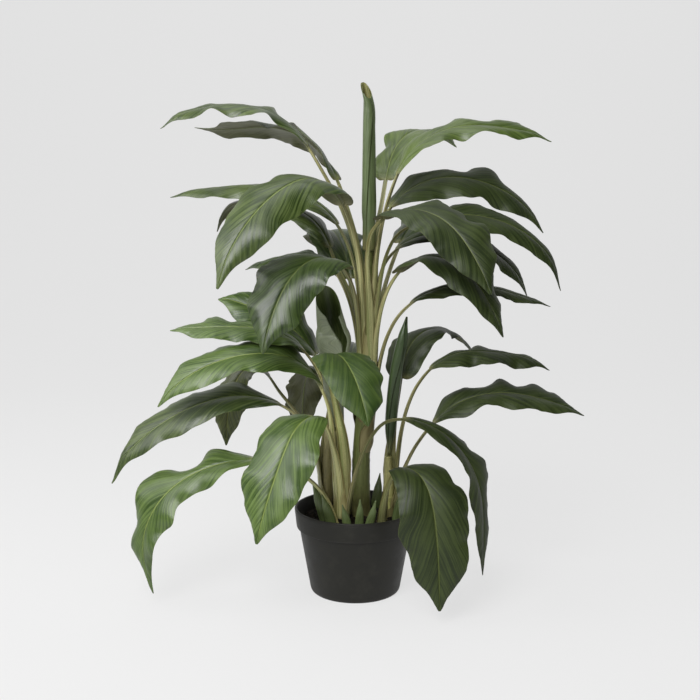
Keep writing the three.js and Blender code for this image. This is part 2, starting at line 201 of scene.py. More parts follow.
def upright_rings(node, sides):
    """The middle and the mean radius of each ring, and the two end points, lowest first."""
    rings, start, end = loft_rings(node, sides)
    if start[2] > end[2]:
        rings, start, end = rings[::-1], end, start
    middles = rings.mean(1)
    radii = np.linalg.norm(rings - middles[:, None], axis=2).mean(1)
    return middles, radii, start, end


def leaf_rings(node):
    """A leaf's rings from its foot, in one order: left edge, upper side, right edge, under side."""
    rings, start, end = loft_rings(node, LEAF_SIDES)

    def flatness(ring):
        reach = np.linalg.norm(ring - ring.mean(0), axis=1)
        return reach.max() / reach.min()

    if flatness(rings[0]) > flatness(rings[-1]):
        rings, end = rings[::-1], start
    ring = rings[0]
    apart = np.linalg.norm(ring[:, None] - ring[None], axis=2)
    left = int(apart.argmax()) // LEAF_SIDES
    ring = np.roll(ring, -left, axis=0)
    chord = (ring[0] + ring[4]) / 2
    if np.linalg.norm(ring[2] - chord) > np.linalg.norm(ring[6] - chord):
        ring = ring[[0, 7, 6, 5, 4, 3, 2, 1]]
    along = rings[1].mean(0) - ring.mean(0)
    if np.dot(np.cross(ring[2] - ring[6], along), ring[0] - ring[4]) < 0:
        ring = ring[[4, 3, 2, 1, 0, 7, 6, 5]]

    def form(ring):
        centred = ring - ring.mean(0)
        return centred / np.abs(centred).max()

    ordered = [ring]
    for ring in rings[1:]:
        turns = [np.roll(r, k, axis=0) for r in (ring, ring[::-1]) for k in range(LEAF_SIDES)]
        last = form(ordered[-1])
        ordered.append(min(turns, key=lambda r: np.square(form(r) - last).sum()))
    return np.array(ordered), end


# ---- objects and meshes ----

def add_object(name, data):
    made = bpy.data.objects.new(name, data)
    bpy.context.scene.collection.objects.link(made)
    return made


def add_piece(name, mesh, material, node=None):
    """Puts a mesh in the scene as a piece of the plant, in place of a CAD node if one is named."""
    mesh.materials.append(material)
    piece = add_object(name, mesh)
    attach(piece, "root")
    if node:
        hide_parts(node)


def tube_mesh(name, rows, start, end, attributes):
    """A closed smooth mesh from rows of points, each row a loop, with a fan at each end.

    With end None the last row is a folded strip and is sewn to itself, side to side.
    attributes maps a name to a vector for each point of the rows."""
    count, sides = rows.shape[:2]
    ids = np.arange(count * sides).reshape(count, sides)
    beside = np.roll(ids, -1, axis=1)
    quads = np.stack([ids[:-1], beside[:-1], beside[1:], ids[1:]], axis=-1).reshape(-1, 4)
    first, last = count * sides, count * sides + 1
    fans = [(first, int(b), int(a)) for a, b in zip(ids[0], beside[0])]
    points = np.concatenate([rows.reshape(-1, 3), [start]])
    if end is None:
        rim = ids[-1].tolist()
        half = sides // 2
        fans.append((rim[0], rim[1], rim[-1]))
        fans.append((rim[half - 1], rim[half], rim[half + 1]))
        fans += [(rim[j], rim[j + 1], rim[-j - 1], rim[-j]) for j in range(1, half - 1)]
    else:
        fans += [(last, int(a), int(b)) for a, b in zip(ids[-1], beside[-1])]
        points = np.concatenate([points, [end]])
    mesh = bpy.data.meshes.new(name)
    mesh.from_pydata(points.tolist(), [], quads.tolist() + fans)
    mesh.polygons.foreach_set("use_smooth", np.ones(len(mesh.polygons), bool))
    for key, values in attributes.items():
        ends = [values[0].mean(0), values[-1].mean(0)][: 1 if end is None else 2]
        data = np.concatenate([values.reshape(-1, 3), ends])
        layer = mesh.attributes.new(key, "FLOAT_VECTOR", "POINT")
        layer.data.foreach_set("vector", data.astype(np.float32).ravel())
    mesh.update()
    return mesh


# ---- materials ----

class Nodes:
    """Short calls for making a material's nodes."""

    def __init__(self, name, roughness, specular=0.5):
        self.material = bpy.data.materials.new(name)
        self.material.use_nodes = True
        self.tree = self.material.node_tree
        self.shader = self.tree.nodes["Principled BSDF"]
        self.shader.inputs["Roughness"].default_value = roughness
        self.shader.inputs["Specular IOR Level"].default_value = specular

    def add(self, kind, **settings):
        node = self.tree.nodes.new(kind)
        for key, value in settings.items():
            setattr(node, key, value)
        return node

    def put(self, value, socket):
        """Links an output to a socket, or sets the socket to a plain value."""
        if isinstance(value, bpy.types.NodeSocket):
            self.tree.links.new(value, socket)
        elif isinstance(value, tuple) and socket.type == "RGBA":
            socket.default_value = (*value, 1.0)
        else:
            socket.default_value = value

    def attribute(self, name):
        return self.add("ShaderNodeAttribute", attribute_name=name).outputs["Vector"]

    def split(self, vector):
        node = self.add("ShaderNodeSeparateXYZ")
        self.put(vector, node.inputs[0])
        return node.outputs[0], node.outputs[1], node.outputs[2]

    def math(self, operation, a, b):
        node = self.add("ShaderNodeMath", operation=operation)
        for value, socket in zip((a, b), node.inputs):
            self.put(value, socket)
        return node.outputs[0]

    def stretched(self, vector, scales):
        node = self.add("ShaderNodeVectorMath", operation="MULTIPLY")
        self.put(vector, node.inputs[0])
        self.put(scales, node.inputs[1])
        return node.outputs[0]

    def noise(self, vector, scale=1.0, detail=3.0, roughness=0.5):
        node = self.add("ShaderNodeTexNoise")
        self.put(vector, node.inputs["Vector"])
        node.inputs["Scale"].default_value = scale
        node.inputs["Detail"].default_value = detail
        node.inputs["Roughness"].default_value = roughness
        return node.outputs["Fac"]

    def span(self, value, low, high, to_low=0.0, to_high=1.0):
        """value taken from the span low to high to the span to_low to to_high, smoothly."""
        node = self.add("ShaderNodeMapRange", interpolation_type="SMOOTHSTEP")
        for item, socket in zip((value, low, high, to_low, to_high), node.inputs):
            self.put(item, socket)
        return node.outputs[0]

    def blend(self, share, a, b):
        node = self.add("ShaderNodeMix", data_type="RGBA")
        self.put(share, node.inputs["Factor"])
        self.put(a, node.inputs[6])
        self.put(b, node.inputs[7])
        return node.outputs[2]

    def bump(self, height, distance, strength=1.0):
        node = self.add("ShaderNodeBump")
        node.inputs["Strength"].default_value = strength
        node.inputs["Distance"].default_value = distance
        self.put(height, node.inputs["Height"])
        return node.outputs["Normal"]

    def finish(self, color, roughness=None, normal=None):
        self.put(color, self.shader.inputs["Base Color"])
        if roughness is not None:
            self.put(roughness, self.shader.inputs["Roughness"])
        if normal is not None:
            self.put(normal, self.shader.inputs["Normal"])
        return self.material


def place(n):
    """Where a point is, in metres, from the object's own coordinates."""
    return n.add("ShaderNodeTexCoord").outputs["Object"]


STALK_DARK = (0.140, 0.142, 0.046)
STALK_LIGHT = (0.450, 0.435, 0.205)
STALK_GREEN = (0.140, 0.175, 0.050)
STALK_EDGE = (0.180, 0.125, 0.048)
VEIN_GRAIN = (800.0, 12.0, 1.0)  # noise cells in a metre, across and along the veins
BAND_GRAIN = (430.0, 9.0, 1.0)
STREAK_GRAIN = (900.0, 9.0, 1.0)
TINT_GRAIN = (70.0, 5.0, 1.0)
MARGIN = (0.982, 0.998)  # where the pale edge of a blade begins and is full


def leaf_material(name, dark, light, under, rib, roughness=0.36, specular=0.5, stalk_tone=0.86):
    """A leaf's skin. The grain attribute runs across and along the veins in metres, and zone
    holds the upper side, the distance from the midrib and the stalk, each from 0 to 1.
    dark and light are the upper side's colours, and stalk_tone scales the stalk's."""
    n = Nodes(name, roughness, specular)
    grain = n.attribute("grain")
    upper, outward, stalk = n.split(n.attribute("zone"))
    veins = n.noise(n.stretched(grain, VEIN_GRAIN), detail=3.0)
    bands = n.noise(n.stretched(grain, BAND_GRAIN), detail=4.0, roughness=0.6)
    clouds = n.noise(place(n), scale=21.0, detail=3.0)
    tone = n.math("ADD", n.math("MULTIPLY", bands, 0.62), n.math("MULTIPLY", clouds, 0.38))
    tone = n.math("ADD", tone, n.math("MULTIPLY", n.math("SUBTRACT", veins, 0.5), 0.55))
    top = n.blend(n.span(tone, 0.36, 0.64), dark, light)
    below = n.blend(n.span(tone, 0.3, 0.7), under, tuple(c * 1.55 for c in under))
    skin = n.blend(n.span(upper, 0.3, 0.7), below, top)
    rib_share = n.span(outward, 0.012, 0.034, 1.0, 0.0)
    skin = n.blend(n.math("MULTIPLY", rib_share, 0.85), skin, rib)
    margin = n.span(outward, *MARGIN)
    skin = n.blend(n.math("MULTIPLY", margin, 0.5), skin, rib)
    streaks = n.noise(n.stretched(grain, STREAK_GRAIN), detail=3.0, roughness=0.65)
    low, high, green, edge = (
        tuple(c * stalk_tone for c in color)
        for color in (STALK_DARK, STALK_LIGHT, STALK_GREEN, STALK_EDGE)
    )
    stem = n.blend(n.span(streaks, 0.36, 0.64), low, high)
    tints = n.noise(n.stretched(grain, TINT_GRAIN), detail=2.0)
    stem = n.blend(n.span(tints, 0.42, 0.66, 0.0, 0.6), stem, green)
    stem = n.blend(n.span(outward, 0.5, 1.0, 0.0, 0.5), stem, edge)
    color = n.blend(stalk, skin, stem)
    shine = n.span(n.math("ADD", bands, n.math("MULTIPLY", veins, 0.3)), 0.4, 0.95,
                   roughness - 0.07, roughness + 0.12)
    relief = n.math("ADD", n.math("MULTIPLY", veins, 0.35), n.math("MULTIPLY", bands, 0.65))
    return n.finish(color, shine, n.bump(relief, 0.9 * MM, 0.55))


LEAF_LOOKS = {
    "dark": dict(dark=(0.014, 0.026, 0.006), light=(0.050, 0.080, 0.018),
                 under=(0.066, 0.070, 0.030), rib=(0.110, 0.140, 0.038)),
    "matt": dict(dark=(0.012, 0.020, 0.004), light=(0.036, 0.052, 0.012),
                 under=(0.060, 0.062, 0.028), rib=(0.090, 0.110, 0.028),
                 roughness=0.5, specular=0.34),
    "mid": dict(dark=(0.018, 0.033, 0.006), light=(0.070, 0.099, 0.025),
                under=(0.085, 0.090, 0.042), rib=(0.150, 0.190, 0.052)),
    "deep": dict(dark=(0.018, 0.040, 0.006), light=(0.054, 0.088, 0.016),
                 under=(0.060, 0.070, 0.028), rib=(0.140, 0.180, 0.044),
                 roughness=0.5, specular=0.34, stalk_tone=1.7),
    "bright": dict(dark=(0.028, 0.056, 0.009), light=(0.097, 0.149, 0.034),
                   under=(0.095, 0.110, 0.045), rib=(0.200, 0.250, 0.060), stalk_tone=1.7),
    # lit: brighter, greener copies of the leaf colours, painted light shining through these thin
    # leaves
    "lit": dict(dark=(0.034, 0.057, 0.010), light=(0.086, 0.125, 0.026),
                under=(0.070, 0.110, 0.022), rib=(0.170, 0.210, 0.050)),
    "olive": dict(dark=(0.030, 0.042, 0.008), light=(0.100, 0.120, 0.026),
                  under=(0.110, 0.120, 0.036), rib=(0.220, 0.230, 0.060)),
    "young": dict(dark=(0.110, 0.110, 0.036), light=(0.240, 0.230, 0.080),
                  under=(0.062, 0.085, 0.034), rib=(0.200, 0.220, 0.080)),
    "young_dark": dict(dark=(0.018, 0.030, 0.008), light=(0.040, 0.060, 0.018),
                       under=(0.026, 0.044, 0.014), rib=(0.100, 0.130, 0.040)),
    "young_grey": dict(dark=(0.090, 0.125, 0.036), light=(0.160, 0.210, 0.070),
                       under=(0.170, 0.195, 0.125), rib=(0.150, 0.190, 0.080)),
    "shoot": dict(dark=(0.050, 0.072, 0.022), light=(0.110, 0.140, 0.048),
                  under=(0.080, 0.108, 0.038), rib=(0.180, 0.210, 0.080)),
}
leaf_finishes = {key: leaf_material(f"leaf_{key}", **look) for key, look in LEAF_LOOKS.items()}


def cane_material(name, low, high):
    """A fleshy cane: streaked along its length, browner at its foot."""
    n = Nodes(name, 0.5)
    at = place(n)
    height = n.split(at)[2]
    streaks = n.noise(n.stretched(at, (900.0, 900.0, 28.0)), detail=4.0, roughness=0.65)
    patches = n.noise(at, scale=60.0, detail=4.0)
    green = n.blend(n.span(streaks, 0.32, 0.68), tuple(c * 0.6 for c in high), high)
    brown = n.blend(n.span(patches, 0.35, 0.62), tuple(c * 0.45 for c in low), low)
    share = n.math("ADD", height, n.math("MULTIPLY", patches, 30 * MM))
    color = n.blend(n.span(share, 122 * MM, 175 * MM), brown, green)
    relief = n.math("ADD", streaks, n.math("MULTIPLY", patches, 0.6))
    return n.finish(color, n.span(patches, 0.3, 0.7, 0.42, 0.6), n.bump(relief, 0.8 * MM, 0.6))


cane_finishes = {
    "tall": cane_material("cane_green", (0.200, 0.190, 0.070), (0.190, 0.220, 0.066)),
    "left": cane_material("cane_pale", (0.480, 0.450, 0.200), (0.640, 0.610, 0.280)),
    "right": cane_material("cane_olive", (0.460, 0.460, 0.140), (0.440, 0.420, 0.170)),
    "back": cane_material("cane_tan", (0.300, 0.250, 0.125), (0.400, 0.360, 0.180)),
}


def pot_material():
    """Dark matt plastic with a fine moulded grain and a little dust."""
    n = Nodes("pot_plastic", 0.55, specular=0.28)
    at = place(n)
    grain = n.noise(at, scale=1900.0, detail=2.0)
    dust = n.noise(at, scale=38.0, detail=5.0, roughness=0.65)
    color = n.blend(n.span(dust, 0.42, 0.75), (0.0115, 0.0113, 0.0085), (0.0225, 0.0220, 0.0175))
    return n.finish(color, n.span(dust, 0.35, 0.7, 0.48, 0.62), n.bump(grain, 0.16 * MM, 0.35))


def soil_material():
    """Dark peaty soil with paler bark crumbs."""
    n = Nodes("soil_dark", 0.95, specular=0.2)
    at = place(n)
    coarse = n.noise(at, scale=170.0, detail=6.0, roughness=0.7)
    crumbs = n.noise(at, scale=520.0, detail=4.0, roughness=0.6)
    color = n.blend(n.span(coarse, 0.4, 0.68), (0.004, 0.003, 0.002), (0.026, 0.018, 0.011))
    color = n.blend(n.span(crumbs, 0.66, 0.8, 0.0, 0.6), color, (0.110, 0.078, 0.048))
    return n.finish(color, normal=n.bump(crumbs, 1.6 * MM, 0.8))


pot_finish = pot_material()
soil_finish = soil_material()


# ---- canes ----

class Cane:
    """A cane's axis and radius by height, read from its CAD node."""

    def __init__(self, key):
        self.key = key
        self.node = f"{key}_cane"
        middles, radii, start, end = upright_rings(self.node, CANE_SIDES)
        self.start, self.end = start, end
        self.heights = middles[:, 2]
        self.middles = middles
        self.radii = radii

    def at(self, height, values):
        height = np.clip(height, self.heights[0], self.heights[-1])
        return spline(self.heights, values, np.atleast_1d(height))

    def middle(self, height):
        return self.at(height, self.middles)

    def radius(self, height):
        return self.at(height, self.radii)


canes = {key: Cane(key) for key in ("tall", "left", "right", "back")}


CANE_ROWS = 110
CANE_COLUMNS = 40
SCAR_COUNT = 40
SCAR_GAPS = (9, 19)  # least and most, in millimetres
SCAR_TILT = 3 * MM
SCAR_RIDGE = (0.45 * MM, 0, 1.3 * MM)  # height, how far above the scar's line, and half width
SCAR_GROOVE = (-0.30 * MM, 2.6 * MM, 1.4 * MM)
FLUTES = (2, 3, 5, 9)  # waves round a cane
FLUTE_DEPTH = 0.012  # of its radius


def make_cane(cane, seed):
    """A cane with the scars of old leaves round it."""
    rng = np.random.default_rng(seed)
    heights = np.linspace(cane.heights[0], cane.heights[-1], CANE_ROWS)
    scars = np.cumsum(rng.uniform(*SCAR_GAPS, SCAR_COUNT)) * MM + cane.heights[0]
    angles = np.linspace(0, 2 * math.pi, CANE_COLUMNS, endpoint=False)
    radius = cane.radius(heights)[:, None] * np.ones(CANE_COLUMNS)
    tilt = rng.uniform(-0.5, 0.5, SCAR_COUNT)
    for scar, lean in zip(scars, tilt):
        line = scar + lean * SCAR_TILT * np.sin(angles + lean * 9)
        gap = heights[:, None] - line
        for height, above, spread in (SCAR_RIDGE, SCAR_GROOVE):
            radius += height * np.exp(-(((gap - above) / spread) ** 2))
    flutes = sum(np.sin(angles * k + rng.uniform(0, 6)) / k for k in FLUTES)
    radius *= 1 + FLUTE_DEPTH * flutes
    points = cane.middle(heights)[:, None] + round_points(radius, angles, 0.0)
    mesh = tube_mesh(f"{cane.node}_skin", points, cane.start, cane.end, {})
    add_piece(f"{cane.node}_skin", mesh, cane_finishes[cane.key], cane.node)


for seed, cane in enumerate(canes.values()):
    make_cane(cane, 100 + seed)


# ---- leaves ----

STALK_ROWS = 26
BLADE_ROWS = 84
SHEATH_ROWS = 22
RIB_COLUMNS = (0.35, 0.7, 1.0)  # columns on each half of the midrib, in its half widths
BLADE_COLUMNS = 12
HALF_COLUMNS = len(RIB_COLUMNS) + BLADE_COLUMNS + 1  # on each half, apart from the middle one
FULL_BEFORE = 0.42  # the outline here is fuller than in the CAD model at both ends
FULL_AFTER = 0.58
MIDRIB_HALF_WIDTH = 2.6 * MM  # where the blade begins
BLADE_THICKNESS = 0.55 * MM
EDGE_THICKNESS = 0.3 * MM
VEIN_ANGLE = math.radians(22)  # between a vein and the midrib
STALK_SWELL = 1.1  # how much wider a stalk is at its foot than its CAD rings
SWELL_LENGTH = 0.75  # of the stalk
ROW_BUNCHING = 0.45  # how much closer a blade's rows lie at its base and tip
LAST_ROW = 0.996  # of the blade's length
TIP_NARROWS_FROM = 0.8  # of the blade's length
TIP_NARROWING = 0.62  # how much of its width the blade loses there
RIB_TAPER = 0.72  # how much of its width the midrib loses along the blade
RIB_SHARE_BLADE = 0.5  # the midrib's largest share of the half width
RIB_SHARE_STALK = 0.86
HOOK_FROM = 0.84  # of the blade's length
LOBE_LENGTH = 0.24  # of the blade's length
UNEVEN_COUNT = 3.4  # waves in the blade's half width
UNEVEN_SIZE = 0.15
WAVE_COUNTS = (2.0, 3.4)  # least and most waves along a blade
WAVE_SIZES = (0.22, 0.34)  # of the half width
RIPPLE_COUNT = 9.0  # small waves along the edge
RIPPLE_SIZES = (1.0, 2.2)  # in millimetres
PLEAT_HEIGHT = 0.16 * MM
PLEAT_STEP = 6.5 * MM
SECOND_PLEAT_STEP = 10.3 * MM
SECOND_PLEAT_SHARE = 0.6
PLEATS_FADE = 4 * MM  # beside the midrib
GROOVE_DEPTH = 0.45 * MM  # of the midrib and the stalk
SHOULDER_HEIGHT = 0.12 * MM
LEFT, RIGHT = 1, -1


def outline(s, before=OUTLINE_BEFORE, after=OUTLINE_AFTER):
    """Half width of a blade at s as a share of its widest."""
    peak = before / (before + after)
    s = np.clip(s, 0, 1)
    return s**before * (1 - s) ** after / (peak**before * (1 - peak) ** after)


class LeafPlan:
    """What a leaf's CAD rings say about its course, width and cross-section."""

    def __init__(self, node):
        rings, tip = leaf_rings(node)
        rib = np.concatenate([rings[:, 2], [tip]])
        self.reach = np.concatenate([[0], np.cumsum(np.linalg.norm(np.diff(rib, axis=0), axis=1))])
        first = self.reach[STALK_RINGS]
        self.blade_length = (self.reach[-1] - first) / (1 - FIRST_BLADE_RING)
        self.stalk_length = first - FIRST_BLADE_RING * self.blade_length
        self.rib = rib
        depths = np.linalg.norm(rings[:, 2] - rings[:, 6], axis=1)
        self.depths = np.append(depths, EDGE_THICKNESS)
        self.halves = {}
        for side, edge, middle in ((LEFT, 0, 1), (RIGHT, 4, 3)):
            across = rings[:, edge] - rings[:, 2]
            width = np.linalg.norm(across, axis=1, keepdims=True)
            halfway = (rings[:, middle] - rings[:, 2]) / width
            across = across / width
            shape = np.stack([halfway, across], axis=1)
            self.halves[side] = np.concatenate([shape, shape[-1:]])
        place_on_blade = (self.reach[STALK_RINGS:-1] - self.stalk_length) / self.blade_length
        blade_width = np.linalg.norm(rings[STALK_RINGS:, 0] - rings[STALK_RINGS:, 2], axis=1)
        self.half_width = float(np.median(blade_width / outline(place_on_blade)))
        self.stalk_widths = np.linalg.norm(
            rings[:STALK_RINGS, 0] - rings[:STALK_RINGS, 2], axis=1)

    def at(self, reach):
        """The midrib's points at these distances along the leaf."""
        return spline(self.reach, self.rib, reach)


def leaf_columns(width, rib_width):
    """Places of the columns from the midrib to the edge, as shares of the half width."""
    rib = rib_width / width
    rim = 1 - np.minimum(0.35 * MM / width, 0.2)
    inner = [rib * share for share in RIB_COLUMNS]
    outer = [mix(rib, rim, (k + 1) / BLADE_COLUMNS) for k in range(BLADE_COLUMNS)]
    return np.stack([np.zeros_like(width), *inner, *outer, np.ones_like(width)], axis=1)


def leaf_widths(plan, reach, on_blade):
    """Half widths of the whole leaf, of its blade alone and of its midrib, row by row."""
    stalk_width = spline(plan.reach[:STALK_RINGS], plan.stalk_widths,
                         np.minimum(reach, plan.reach[STALK_RINGS - 1]))
    taper = 1 - TIP_NARROWING * smooth((on_blade - TIP_NARROWS_FROM) / (1 - TIP_NARROWS_FROM))
    blade_width = plan.half_width * outline(on_blade, FULL_BEFORE, FULL_AFTER) * taper
    width = np.sqrt((stalk_width * np.sqrt(1 - on_blade)) ** 2 + blade_width**2)
    foot_share = 1 - smooth(reach / (SWELL_LENGTH * plan.stalk_length))
    width = width * (1 + STALK_SWELL * foot_share)
    rib_width = np.minimum(MIDRIB_HALF_WIDTH * (1 - RIB_TAPER * on_blade), RIB_SHARE_BLADE * width)
    stalk_rib_width = RIB_SHARE_STALK * width
    rib_width = np.where(reach < plan.stalk_length, stalk_rib_width,
                         np.minimum(rib_width, stalk_rib_width))
    return width, blade_width, rib_width


def loops(top, bottom):
    """Rows round a leaf: over the top from left to right, and back underneath."""
    return np.concatenate([
        top[LEFT][:, :0:-1], top[LEFT][:, :1], top[RIGHT][:, 1:],
        bottom[RIGHT][:, -2:0:-1], bottom[LEFT][:, :1], bottom[LEFT][:, 1:-1],
    ], axis=1)


def make_leaf(node, seed):
    """A leaf with its sheath, stalk and blade."""
    rng = np.random.default_rng(seed)
    plan = LeafPlan(node)
    spread = np.linspace(0, 1, BLADE_ROWS)
    places = mix(spread, (1 - np.cos(math.pi * spread)) / 2, ROW_BUNCHING) * LAST_ROW
    stalk_reach = np.linspace(0, plan.stalk_length, STALK_ROWS, endpoint=False)
    reach = np.concatenate([stalk_reach, plan.stalk_length + places * plan.blade_length])
    s = (reach - plan.stalk_length) / plan.blade_length
    on_blade = np.clip(s, 0, 1)
    width, blade_width, rib_width = leaf_widths(plan, reach, on_blade)
    depth = np.maximum(spline(plan.reach, plan.depths, reach), 1.1 * BLADE_THICKNESS)
    columns = leaf_columns(width, rib_width)
    distance = columns * width[:, None]
    wavy = WAVES.get(node, USUAL_WAVE)

    # the upper side without its waves
    hook = HOOKS.get(node, USUAL_HOOK) * MM * smooth((on_blade - HOOK_FROM) / (1 - HOOK_FROM)) ** 2
    rib = plan.at(reach) - hook[:, None] * UP
    course = unit(np.gradient(rib, axis=0))
    lobe = LOBES.get(node, USUAL_LOBE) * MM * (1 - smooth(on_blade / LOBE_LENGTH))
    lobe = lobe * np.minimum(blade_width / plan.half_width, 1)
    upper, normals = {}, {}
    for side in (LEFT, RIGHT):
        shape = spline(plan.reach, plan.halves[side], reach)
        middle, edge = shape[:, 0], shape[:, 1]
        uneven = waves(on_blade, UNEVEN_COUNT, rng) * np.sin(math.pi * on_blade)
        uneven = 1 + UNEVEN_SIZE * wavy * uneven
        x = columns[..., None]
        half = 4 * x * (1 - x) * middle[:, None] + x * (2 * x - 1) * edge[:, None]
        upper[side] = rib[:, None] + (width * uneven)[:, None, None] * half
        upper[side] -= (lobe[:, None] * columns**2)[..., None] * course[:, None]
        along = np.gradient(upper[side], axis=0)
        across = np.gradient(upper[side], axis=1)
        normals[side] = unit(np.cross(along, across) * side)
    rib_normal = unit(normals[LEFT][:, 0] + normals[RIGHT][:, 0])

    # its waves and pleats, the under side, and what the material reads
    ribbing = np.clip(distance / rib_width[:, None], 0, 1)
    lower, zone, grain = {}, {}, {}
    count = rng.uniform(*WAVE_COUNTS)
    size = wavy * rng.uniform(*WAVE_SIZES)
    flutter = rng.uniform(*RIPPLE_SIZES) * MM
    for side in (LEFT, RIGHT):
        normal = unit(mix(rib_normal[:, None], normals[side], smooth(ribbing)[..., None]))
        calm = np.sin(math.pi * np.clip(on_blade * 1.02, 0, 1)) ** 0.7
        wave = size * width * waves(on_blade, count, rng) * calm
        ripple = flutter * waves(on_blade, RIPPLE_COUNT, rng) * calm
        phase = rng.uniform(0, 2 * math.pi)
        swept = distance * math.cos(VEIN_ANGLE) - reach[:, None] * math.sin(VEIN_ANGLE)
        turns = 2 * math.pi * swept
        pleats = np.sin(turns / PLEAT_STEP + phase)
        pleats = pleats + SECOND_PLEAT_SHARE * np.sin(turns / SECOND_PLEAT_STEP + 2 * phase)
        blade_share = smooth(on_blade / 0.06)[:, None]
        blade_share = blade_share * smooth((distance - rib_width[:, None]) / PLEATS_FADE)
        lift = wave[:, None] * columns**1.7 + ripple[:, None] * columns**5
        lift = lift + PLEAT_HEIGHT * pleats * blade_share
        top = upper[side] + lift[..., None] * normal
        groove = GROOVE_DEPTH * np.clip(1 - ribbing**2, 0, 1) ** 2
        shoulder = np.exp(-(((distance / rib_width[:, None]) - 1.1) / 0.35) ** 2)
        upper[side] = top + (SHOULDER_HEIGHT * shoulder - groove)[..., None] * normal
        thickness = mix(BLADE_THICKNESS, EDGE_THICKNESS, columns)
        belly = (depth[:, None] - thickness) * np.clip(1 - ribbing**2, 0, 1) ** 0.6
        lower[side] = top - (thickness + belly)[..., None] * normal
        sweep = smooth(on_blade / 0.08) * VEIN_ANGLE
        across_veins = distance * np.cos(sweep)[:, None] - (reach * np.sin(sweep))[:, None]
        along_veins = distance * np.sin(sweep)[:, None] + (reach * np.cos(sweep))[:, None]
        grain[side] = np.stack([across_veins + side * 0.4, along_veins,
                                np.full_like(distance, seed * 3.7)], axis=-1)
        stalk_share = np.broadcast_to(1 - smooth((s + 0.03) / 0.09)[:, None], columns.shape)
        zone[side] = np.stack([np.ones_like(columns), columns, stalk_share], axis=-1)
    under_zone = {side: zone[side] * np.array([0.0, 1.0, 1.0]) for side in zone}

    rows = loops(upper, lower)
    grains = loops(grain, grain)
    zones = loops(zone, under_zone)
    sheath = sheath_rows(node, rows, width[0], seed)
    sheath_grain = np.repeat(grains[:1], len(sheath), axis=0)
    sheath_grain[..., 1] -= np.linalg.norm(sheath.mean(1) - rows[0].mean(0), axis=1)[:, None]
    sheath_zone = np.repeat(zones[:1], len(sheath), axis=0)
    rows = np.concatenate([sheath, rows])
    grains = np.concatenate([sheath_grain, grains])
    zones = np.concatenate([sheath_zone, zones])
    mesh = tube_mesh(f"{node}_blade", rows, rows[0].mean(0), rib[-1],
                     {"grain": grains, "zone": zones})
    finish = leaf_finishes[LEAF_FINISH.get(node, USUAL_FINISH)]
    add_piece(f"{node}_blade", mesh, finish, node)


feet = {
    node: leaf_rings(node)[0][0].mean(0) for node in sorted(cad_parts) if "_leaf_" in node
}


SHEATH_GAP = 0.35  # between a sheath and its cane, in millimetres
LAYER_GAP = 0.45  # more for each stalk that starts higher up, in millimetres
SHEATH_HALF_ANGLE = 100  # how far a sheath reaches round its cane at its lower end, in degrees
SHEATH_ANGLE_VARIES = 14
SHEATH_THICKNESS = (2.6, 1.0)  # in its middle, at its upper and its lower end, in millimetres
SHEATH_EDGE = 0.25 * MM  # its thickness along its edges
HEM_FROM = 0.72  # of its length: from there it thins and closes on the cane
TOUCHING = 6 * MM  # a foot nearer than this to a cane stands against it
IN_SOIL = 15 * MM  # a foot lower than this above the soil belongs to no cane
FOOT_SWELL = 0.55  # how much wider a stalk that rises from the soil gets


def nearest_cane(foot):
    """The cane that a foot stands against, or None."""
    def gap(cane):
        level = np.linalg.norm((foot - cane.middle(foot[2])[0])[:2])
        return level - cane.radius(foot[2])[0]
    cane = min(canes.values(), key=gap)
    return cane if gap(cane) < TOUCHING and foot[2] > SOIL_LEVEL + IN_SOIL else None


def sheath_rows(node, rows, half_width, seed):
    """Rows that carry a stalk on down as a sheath round its cane, from its lower end up."""
    foot = feet[node]
    cane = nearest_cane(foot)
    sides = rows.shape[1]
    section = rows[0] - foot
    top_count = 2 * HALF_COLUMNS + 1
    signs = np.concatenate([
        np.linspace(1, -1, top_count),
        np.linspace(-1, 1, top_count)[1:-1],
    ])
    on_top = np.arange(sides) < top_count
    downs = np.linspace(1, 0, SHEATH_ROWS, endpoint=False)
    if cane is None:
        length = foot[2] - SOIL_LEVEL + 8 * MM
        slope = unit(rows[0].mean(0) - rows[1].mean(0))
        made = []
        for q in downs:
            middle = foot + slope * length * q
            made.append(middle + section * (1 + FOOT_SWELL * smooth(q)))
        return np.array(made)
    length = min(SHEATH_LENGTH, foot[2] - SOIL_LEVEL + 4 * MM)
    mates = [n for n in feet if n != node and nearest_cane(feet[n]) is cane]
    layer = sum(0 < feet[n][2] - foot[2] < SHEATH_LENGTH for n in mates)
    clearance = (SHEATH_GAP + LAYER_GAP * layer) * MM
    out = foot - cane.middle(foot[2])[0]
    bearing = math.atan2(out[1], out[0])
    left = rows[0][0] - rows[0][top_count - 1]
    turn = np.sign(np.dot(left, [-math.sin(bearing), math.cos(bearing), 0]))
    widest = math.radians(SHEATH_HALF_ANGLE + SHEATH_ANGLE_VARIES * math.sin(seed * 2.1))
    made = []
    for q in downs:
        height = foot[2] - q * length
        middle = cane.middle(height)[0]
        radius = cane.radius(height)[0] + clearance
        half_angle = mix(half_width / radius, widest, smooth((q - 0.05) / 0.5))
        angle = bearing + turn * signs * half_angle
        thick = mix(*SHEATH_THICKNESS, q) * MM * (1 - np.abs(signs) ** 1.8) + SHEATH_EDGE
        hem = smooth((q - HEM_FROM) / (1 - HEM_FROM))
        distance = radius + np.where(on_top, 0.0, thick * (1 - 0.8 * hem)) - hem * (clearance + MM)
        wrapped = middle + round_points(distance, angle, 0.0)
        carried = foot + section + (middle - cane.middle(foot[2])[0])
        carried[:, 2] = height + section[:, 2]
        wrapped[:, 2] = height
        made.append(mix(carried, wrapped, smooth(q / 0.45)))
    return np.array(made)


for seed, node in enumerate(feet):
    make_leaf(node, seed + 1)


# ---- rolled young leaves and shoots ----

